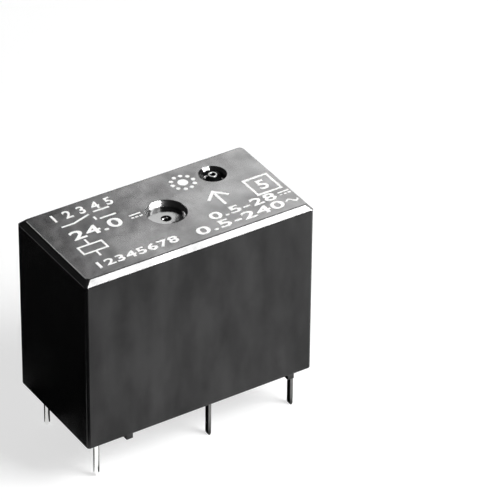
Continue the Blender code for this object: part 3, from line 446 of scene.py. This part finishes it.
gate_pocket = pocket(GATE_RADIUS, GATE_DEPTH, GATE_FLOOR_ROUNDING, GATE_LIP)
vent_pocket = pocket(VENT_RADIUS, VENT_DEPTH, VENT_FLOOR_ROUNDING, VENT_LIP)
vent_sink = [
    (0, case_top - VENT_SINK),
    (VENT_RADIUS, case_top - VENT_SINK),
    (VENT_RADIUS + 2 * VENT_SINK, case_top + VENT_SINK),
    (0, case_top + VENT_SINK),
]
shape(cover, revolve(gate_pocket, GATE_CENTRE, steps=96), "DIFFERENCE")
shape(cover, revolve(vent_pocket, VENT_CENTRE), "DIFFERENCE")
shape(cover, revolve(vent_sink, VENT_CENTRE), "DIFFERENCE")

# The gate's mark is a dimple in the pocket's floor with the torn stub of the sprue in it.
# It is the place where the plastic was fed into the mould, part of the same moulding.
gate_floor = case_top - GATE_DEPTH
dimple = millimetres([(0, -0.28), (0.34, -0.28), (0.4, -0.22), (0.42, 0), (0.42, 0.03), (0, 0.03)])
stub = millimetres([
    (0, -0.36), (0.2, -0.36), (0.17, -0.15), (0.15, 0), (0.12, 0.07), (0.05, 0.1), (0, 0.1),
])
gate_foot = GATE_CENTRE + Vector((0, 0, gate_floor))
shape(cover, revolve(dimple, gate_foot, steps=40), "DIFFERENCE")
shape(cover, revolve(stub, gate_foot, steps=24), "UNION")

# The vent nib is a hollow stub with a flared skirt, moulded with the cover.
# Its tip is cut off after soldering where the relay has to breathe.
vent_floor = case_top - VENT_DEPTH
nib = millimetres([
    (0, -0.2), (0.82, -0.2), (0.8, 0.02), (0.62, 0.12), (0.5, 0.3), (0.42, 0.5),
    (0.39, 0.62), (0.35, 0.66), (0.24, 0.66), (0.2, 0.62), (0.19, 0.05), (0, 0.05),
])
shape(cover, revolve(nib, VENT_CENTRE + Vector((0, 0, vent_floor)), steps=48), "UNION")

# The cover's skin is spark-eroded in the mould to a satin, slightly mottled black. A patchy film of
# release agent makes it glossier. On the top towards the coil's end the coat is cut back, as painted shade
# that darkens the top's reflection there.
FILM_WEIGHT = 0.36
SHADE_PAINT_START = -8.2 * mm
SHADE_PAINT_FULL = -10.2 * mm
SHADE_EDGE_WANDER = 2.4 * mm
skin = Finish("black moulded skin", IOR=1.5, Specular_IOR_Level=0.27, Coat_Roughness=0.16)
mottle = skin.noise(2.6 * mm, 2, stretch=(1, 1, 0.35), roughness=0.55)
cloud = skin.noise(0.45 * mm, 4, stretch=(1, 1, 0.6), roughness=0.6)
grain = skin.noise(0.045 * mm, 2)
tone = mottle * 0.85 + cloud * 0.15
film_patches = skin.ramp(tone, 0.36, 0.64)
# Painted shade: this mask cuts the coat on the top towards the coil's end.
painted_shade_end = skin.ramp(skin.along(0) - tone * SHADE_EDGE_WANDER, SHADE_PAINT_START, SHADE_PAINT_FULL)
on_top = skin.ramp(skin.along(2), case_top - CHAMFER, case_top - EDGE_ROUNDING)
waves = skin.bump(mottle, 0.04 * mm)
skin.wear(
    Base_Color=skin.between(tone, (0.003, 0.003, 0.0032), (0.011, 0.011, 0.0115)),
    Roughness=cloud * 0.12 + 0.14,
    Coat_Weight=film_patches * FILM_WEIGHT * (1 - painted_shade_end * on_top),
    Normal=skin.bump(grain, 0.003 * mm, under=waves),
)

# The gate pocket's wall keeps the fine turning marks of the mould's core pin. They throw light up
# like a steep cone, down to a plain polished band at the pocket's floor.
WALL_MARKS_LEAN = 0.85
PLAIN_BAND = 0.06 * mm
POCKET_BLACK = (0.004, 0.004, 0.0042, 1)
marked = Finish(
    "turned pocket wall", IOR=1.5, Base_Color=POCKET_BLACK, Coat_Weight=1.0, Coat_Roughness=0.2,
)
above_band = (marked.along(2) - (gate_floor + PLAIN_BAND)).at_least(0.0)
marked.wear(
    Roughness=marked.noise(0.3 * mm, 2) * 0.14 + 0.14,
    Normal=marked.bump(above_band * -WALL_MARKS_LEAN, 1.0),
)

# The gate pocket's floor, and the vent pocket with its nib, come polished from the mould.
# Each face of the cover takes its finish by its place.
MARK_REACH = 0.3 * mm
MICRON = 0.001 * mm
STEEP = 0.5
COVER_SHARP_ANGLE = math.radians(32)
polish = Finish("polished pocket", IOR=1.5, Base_Color=POCKET_BLACK)
polish_waves = polish.noise(0.35 * mm, 2)
polish.wear(
    Roughness=polish_waves * 0.1 + 0.05,
    Normal=polish.bump(polish_waves, 0.005 * mm),
)
finishes = [skin, marked, polish]
cover.data.materials.clear()
for finish in finishes:
    cover.data.materials.append(finish.material)
for face in cover.data.polygons:
    spot = face.center
    from_gate = math.hypot(spot.x - GATE_CENTRE.x, spot.y - GATE_CENTRE.y)
    from_vent = math.hypot(spot.x - VENT_CENTRE.x, spot.y - VENT_CENTRE.y)
    below_top = spot.z < case_top - MICRON
    in_gate = from_gate < GATE_RADIUS + GATE_LIP / 2 and gate_floor - MARK_REACH < spot.z and below_top
    in_vent = from_vent < VENT_RADIUS + VENT_SINK and vent_floor - MICRON < spot.z and below_top
    on_wall = in_gate and abs(face.normal.z) < STEEP and from_gate > GATE_RADIUS / 2
    finish = marked if on_wall else polish if in_gate or in_vent else skin
    face.material_index = finishes.index(finish)
cover.data.shade_smooth()
cover.data.set_sharp_from_angle(angle=COVER_SHARP_ANGLE)
even = cover.modifiers.new("even shading", "WEIGHTED_NORMAL")
even.keep_sharp = True
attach(cover, "housing")
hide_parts("case")

# The white ink on the top is pad-printed: plain numbers and circuit symbols, in a thin even film.
# Each mark is its own patch of film on the cover. Its sizes and places are in millimetres.
INK_BOTTOM = case_top - 0.004 * mm
INK_TOP = case_high.z - 0.001 * mm
STROKE_GAIN = 0.02
LETTER_SPACING = 1.08
SHORTEST_LINE = 0.004
MITRE_LIMIT = 0.4
DOT_SIDES = 20
ink = Finish("white ink", Roughness=0.5)
ink_cloud = ink.noise(0.12 * mm, 3)
ink.wear(
    Base_Color=ink.between(ink_cloud, (0.8, 0.8, 0.79), (0.93, 0.93, 0.92)),
    Normal=ink.bump(ink_cloud, 0.002 * mm),
)


def lay_ink(name, bm):
    """A flat bmesh outline becomes a patch of film on the top."""
    bmesh.ops.dissolve_limit(bm, angle_limit=math.radians(1), verts=bm.verts, edges=bm.edges)
    bmesh.ops.triangulate(bm, faces=bm.faces[:])
    extrude(bm, INK_TOP - INK_BOTTOM)
    patch = add_object(name, bm, ink.material)
    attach(patch, "housing")


def thicken(bm, weight):
    """Moves every border of a flat bmesh outwards, square to its lines."""
    for face in bm.faces:
        if face.normal.z < 0:
            face.normal_flip()
    pushes = {}
    for edge in bm.edges:
        if edge.is_boundary:
            start = edge.link_loops[0]
            along = (start.link_loop_next.vert.co - start.vert.co).normalized()
            for vert in edge.verts:
                pushes.setdefault(vert, []).append(Vector((along.y, -along.x, 0)))
    for vert, (first, second) in pushes.items():
        vert.co += weight * (first + second) / (1 + first.dot(second))


def print_numbers(name, characters, left, right, bottom, top):
    """A row of plain numbers that fills a box on the top."""
    text = bpy.data.curves.new(name, "FONT")
    text.body = characters
    text.size = 1
    text.space_character = LETTER_SPACING
    text.resolution_u = 5
    writer = bpy.data.objects.new(name, text)
    scene.collection.objects.link(writer)
    graph = bpy.context.evaluated_depsgraph_get()
    flat = bpy.data.meshes.new_from_object(writer.evaluated_get(graph), depsgraph=graph)
    bpy.data.objects.remove(writer, do_unlink=True)
    bm = bmesh.new()
    bm.from_mesh(flat)
    # The font's four has a very short line, which would turn its opening inside out.
    bmesh.ops.remove_doubles(bm, verts=bm.verts[:], dist=SHORTEST_LINE)
    thicken(bm, STROKE_GAIN)
    xs = [vert.co.x for vert in bm.verts]
    ys = [vert.co.y for vert in bm.verts]
    scale_x = (right - left) * mm / (max(xs) - min(xs))
    scale_y = (top - bottom) * mm / (max(ys) - min(ys))
    bmesh.ops.translate(bm, vec=(-min(xs), -min(ys), 0), verts=bm.verts)
    bmesh.ops.scale(bm, vec=(scale_x, scale_y, 0), verts=bm.verts)
    bmesh.ops.translate(bm, vec=(left * mm, bottom * mm, INK_BOTTOM), verts=bm.verts)
    lay_ink(name, bm)


def print_lines(name, lines, width):
    """Printed lines of one width: each is a list of points and whether it is closed."""
    bm = bmesh.new()
    for points, closed in lines:
        spots = [Vector((x, y, 0)) * mm for x, y in points]
        count = len(spots)
        left_side = []
        right_side = []
        for i, spot in enumerate(spots):
            back = spots[i - 1] if closed or i > 0 else None
            ahead = spots[(i + 1) % count] if closed or i < count - 1 else None
            into = (spot - back).normalized() if back is not None else (ahead - spot).normalized()
            out = (ahead - spot).normalized() if ahead is not None else into
            along = (into + out).normalized()
            half_width = width * mm / 2 / max(along.dot(out), MITRE_LIMIT)
            across = Vector((-along.y, along.x, 0)) * half_width
            left_side.append(bm.verts.new(spot + across))
            right_side.append(bm.verts.new(spot - across))
        for i in range(count if closed else count - 1):
            j = (i + 1) % count
            bm.faces.new((right_side[i], right_side[j], left_side[j], left_side[i]))
    bmesh.ops.translate(bm, vec=(0, 0, INK_BOTTOM), verts=bm.verts)
    lay_ink(name, bm)


def print_dots(name, centres, radius):
    """Printed round dots."""
    bm = bmesh.new()
    for x, y in centres:
        place = Matrix.Translation((x * mm, y * mm, INK_BOTTOM))
        bmesh.ops.create_circle(bm, cap_ends=True, segments=DOT_SIDES, radius=radius * mm, matrix=place)
    lay_ink(name, bm)


print_numbers("print_pin_numbers", "1 2 3 4 5", left=-7.9, right=-2.7, bottom=3.1, top=4.1)
print_lines("print_contact_symbol", [
    ([(-7.85, 2.3), (-6.75, 2.3), (-5.2, 2.78)], False),
    ([(-5.05, 1.85), (-5.05, 2.3)], False),
    ([(-4.75, 2.9), (-3.35, 2.9)], False),
    ([(-4.75, 1.85), (-3.35, 1.85)], False),
], width=0.17)
print_numbers("print_coil_rating", "24.0", left=-7.9, right=-3.5, bottom=0.2, top=1.4)
print_lines("print_direct_sign", [
    ([(-2.75, 0.95), (-1.75, 0.95)], False),
    ([(-2.75, 0.6), (-2.5, 0.6)], False),
    ([(-2.38, 0.6), (-2.13, 0.6)], False),
    ([(-2.0, 0.6), (-1.75, 0.6)], False),
], width=0.14)
print_lines("print_coil_symbol", [
    ([(-8.22, -1.7), (-6.17, -1.7), (-6.17, -0.73), (-8.22, -0.73)], True),
    ([(-7.2, -0.66), (-7.2, 0.02)], False),
    ([(-7.2, -2.42), (-7.2, -1.78)], False),
], width=0.17)
print_numbers("print_counting_row", "12345678", left=-8.1, right=-1.1, bottom=-3.9, top=-3.05)

RING_X = 3.2
RING_Y = 2.77
RING_RADIUS = 0.92
RING_DOTS = 10
ring = []
for k in range(RING_DOTS):
    angle = 2 * math.pi * k / RING_DOTS
    ring.append((RING_X + RING_RADIUS * math.cos(angle), RING_Y + RING_RADIUS * math.sin(angle)))
print_dots("print_dot_ring", ring, radius=0.17)
print_dots("print_dot_centre", [(RING_X, RING_Y)], radius=0.42)

print_lines("print_arrow", [
    ([(3.55, -0.45), (4.45, 0.45), (5.35, -0.45)], False),
    ([(4.45, -1.45), (4.45, 0.2)], False),
], width=0.24)
print_lines("print_box", [
    ([(7.2, -1.75), (9.3, -1.75), (9.3, 0.45), (7.2, 0.45)], True),
], width=0.2)
print_numbers("print_box_number", "5", left=7.85, right=8.65, bottom=-1.3, top=0.0)
print_numbers("print_direct_rating", "0.5-28", left=2.4, right=8.3, bottom=-2.9, top=-1.95)
print_lines("print_direct_sign_right", [
    ([(8.6, -2.3), (9.6, -2.3)], False),
    ([(8.6, -2.62), (8.85, -2.62)], False),
    ([(8.97, -2.62), (9.22, -2.62)], False),
    ([(9.35, -2.62), (9.6, -2.62)], False),
], width=0.13)
print_numbers("print_alternating_rating", "0.5-240", left=0.5, right=8.3, bottom=-4.15, top=-3.15)

WAVE_START = 8.55
WAVE_LENGTH = 1.0
WAVE_MIDDLE = -3.65
WAVE_HEIGHT = 0.2
WAVE_STEPS = 12
wave = []
for k in range(WAVE_STEPS + 1):
    swing = WAVE_HEIGHT * math.sin(2 * math.pi * k / WAVE_STEPS)
    wave.append((WAVE_START + WAVE_LENGTH * k / WAVE_STEPS, WAVE_MIDDLE + swing))
print_lines("print_alternating_sign", [(wave, False)], width=0.15)

# The coil's two pins are drawn round wire with a bright tin coat and a blunt turned point.
# They stand in the bobbin's lower flange and come out through the resin.
PIN_RADIUS = 0.23 * mm
PIN_CHAMFER = 0.04 * mm
PIN_POINT = millimetres([(0, 0), (0.045, 0), (0.075, 0.025), (0.2, 0.27), (0.222, 0.33), (0.23, 0.4)])
tin = Finish("bright tin", Metallic=1.0)
tin_cloud = tin.noise(0.15 * mm, 3, stretch=(1, 1, 0.25))
tin.wear(
    Base_Color=tin.between(tin_cloud, (0.88, 0.88, 0.87), (0.97, 0.97, 0.96)),
    Roughness=tin_cloud * 0.12 + 0.12,
    Normal=tin.bump(tin_cloud, 0.004 * mm),
)
for side in ("front", "rear"):
    low, high = (Vector(corner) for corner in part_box("coil_terminal_" + side))
    centre = (low + high) / 2
    head = [(PIN_RADIUS, high.z - PIN_CHAMFER), (PIN_RADIUS - PIN_CHAMFER, high.z), (0, high.z)]
    turned = revolve(PIN_POINT + head, (centre.x, centre.y, 0), steps=32)
    pin = add_object("coil_pin_" + side, turned, tin.material)
    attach(pin, "housing")
    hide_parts("coil_terminal_" + side)

# The three contact terminals are stamped from brass sheet and dull-tinned, and pressed in the base.
# Stamping leaves fine streaks along the blades. Their colour is kept far darker than tin, as painted
# shade.
stamped = Finish("dull tin with painted shade", Metallic=1.0)
streaks = stamped.noise(0.06 * mm, 3, stretch=(1, 1, 0.12))
stains = stamped.noise(0.6 * mm, 3)
# Painted shade: the blades' colour runs near black, below any tin, over their real streaks and stains.
stamped.wear(
    Base_Color=stamped.between(streaks * 0.5 + stains * 0.5, (0.04, 0.04, 0.04), (0.22, 0.22, 0.215)),
    Roughness=streaks * 0.2 + 0.28,
    Normal=stamped.bump(streaks, 0.003 * mm),
)


def repaint(finish, *nodes):
    """CAD nodes that keep their shape take a finish."""
    for name in nodes:
        for material_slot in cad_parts[name].material_slots:
            material_slot.material = finish.material


repaint(stamped, "common_terminal", "no_terminal", "nc_terminal")

# The base is a plain black moulding, seen only from below and inside. It has openings for the pins,
# rails for the yoke, and the barrier between the coil and the contacts.
base_plastic = Finish("base plastic")
flow = base_plastic.noise(1.2 * mm, 3)
base_plastic.wear(
    Base_Color=base_plastic.between(flow, (0.025, 0.025, 0.025), (0.05, 0.05, 0.05)),
    Roughness=flow * 0.2 + 0.42,
    Normal=base_plastic.bump(base_plastic.noise(0.05 * mm, 2), 0.003 * mm),
)
repaint(base_plastic, "base")

# The underside is closed with black casting resin, poured in round the pins.
# It sets glossy and slightly uneven.
resin = Finish("casting resin", IOR=1.54)
swirl = resin.noise(1.5 * mm, 2)
resin.wear(
    Base_Color=resin.between(swirl, (0.012, 0.012, 0.013), (0.025, 0.025, 0.027)),
    Roughness=swirl * 0.12 + 0.1,
    Normal=resin.bump(swirl, 0.06 * mm),
)
repaint(resin, "sealing_resin")

# Yoke, core and armature are soft iron with a thin nickel coat. The yoke and the armature are blanked
# from rolled strip and bent. The core is turned and riveted in the yoke.
iron = Finish("nickelled iron", Metallic=1.0)
rolling = iron.noise(0.08 * mm, 3, stretch=(0.15, 1, 1))
iron.wear(
    Base_Color=iron.between(rolling, (0.46, 0.45, 0.43), (0.62, 0.61, 0.58)),
    Roughness=rolling * 0.18 + 0.26,
    Normal=iron.bump(rolling, 0.002 * mm),
)
repaint(iron, "yoke", "core", "armature")

# The bobbin is moulded in ivory plastic, with a smooth skin.
# It sits round the core, and its lower flange holds the coil's pins.
ivory = Finish("ivory plastic")
ivory_flow = ivory.noise(1.5 * mm, 3)
ivory.wear(
    Base_Color=ivory.between(ivory_flow, (0.56, 0.53, 0.44), (0.66, 0.63, 0.54)),
    Roughness=ivory_flow * 0.15 + 0.38,
    Normal=ivory.bump(ivory.noise(0.06 * mm, 2), 0.003 * mm),
)
repaint(ivory, "bobbin")

# The coil is enamelled copper wire, wound on the bobbin in layers, so its skin shows even turns.
# Its two ends run to the coil's pins.
TURN_PITCH = 0.06 * mm
RADIANS_PER_SCALE = 20
copper = Finish("enamelled copper", Metallic=1.0, Coat_Weight=0.6, Coat_Roughness=0.15)
turns = copper.node(
    "ShaderNodeTexWave",
    {"wave_type": "BANDS", "bands_direction": "Z", "wave_profile": "SIN"},
    {
        "Vector": copper.place,
        "Scale": 2 * math.pi / (RADIANS_PER_SCALE * TURN_PITCH),
        "Distortion": 0.6,
    },
)
patina = copper.noise(0.8 * mm, 2)
copper.wear(
    Base_Color=copper.between(patina, (0.5, 0.17, 0.07), (0.68, 0.28, 0.12)),
    Roughness=patina * 0.1 + 0.25,
    Normal=copper.bump(turns, 0.02 * mm),
)
repaint(copper, "coil_winding", "coil_lead_front", "coil_lead_rear")

# A turn of yellow polyester film holds the winding's outer layer.
# It is stuck down on itself, with slight wrinkles.
film = Finish("yellow film", Coat_Weight=0.4)
wrinkle = film.noise(0.9 * mm, 2, stretch=(1, 1, 3))
film.wear(
    Base_Color=film.between(wrinkle, (0.7, 0.42, 0.05), (0.82, 0.55, 0.1)),
    Roughness=wrinkle * 0.15 + 0.25,
    Normal=film.bump(wrinkle, 0.03 * mm),
)
repaint(film, "coil_tape")

# The hinge spring and the contact leaf are stamped from rolled copper-alloy strip. The spring holds
# the armature on the yoke, and the leaf stands on the common terminal and carries the moving contact.
bronze = Finish("spring strip", Metallic=1.0)
strip_lines = bronze.noise(0.05 * mm, 3, stretch=(1, 1, 0.1))
bronze.wear(
    Base_Color=bronze.between(strip_lines, (0.6, 0.36, 0.18), (0.78, 0.5, 0.28)),
    Roughness=strip_lines * 0.15 + 0.22,
    Normal=bronze.bump(strip_lines, 0.002 * mm),
)
repaint(bronze, "hinge_spring", "moving_spring")

# The rivets are plain brass, upset in place.
# One holds the hinge spring on the yoke, and two hold the leaf on the common terminal.
brass = Finish("rivet brass", Metallic=1.0)
upset = brass.noise(0.15 * mm, 3)
brass.wear(
    Base_Color=brass.between(upset, (0.66, 0.47, 0.2), (0.8, 0.62, 0.32)),
    Roughness=upset * 0.2 + 0.25,
    Normal=brass.bump(upset, 0.006 * mm),
)
repaint(brass, "hinge_spring_rivet", "spring_rivet_front", "spring_rivet_rear")

# The contacts are silver alloy rivets with a satin, lightly tarnished face.
# They are upset in the leaf and in the two fixed terminals.
silver = Finish("contact silver", Metallic=1.0)
tarnish = silver.noise(0.3 * mm, 3)
silver.wear(
    Base_Color=silver.between(tarnish, (0.72, 0.7, 0.66), (0.9, 0.89, 0.86)),
    Roughness=tarnish * 0.2 + 0.2,
    Normal=silver.bump(tarnish, 0.004 * mm),
)
repaint(silver, "moving_contact", "no_contact", "nc_contact")

# The card is a small green moulding that slides in the barrier's window.
# It passes the armature's push on to the contact leaf.
green = Finish("card plastic")
green_flow = green.noise(0.8 * mm, 3)
green.wear(
    Base_Color=green.between(green_flow, (0.16, 0.28, 0.2), (0.24, 0.37, 0.28)),
    Roughness=green_flow * 0.15 + 0.38,
    Normal=green.bump(green.noise(0.05 * mm, 2), 0.003 * mm),
)
repaint(green, "card")
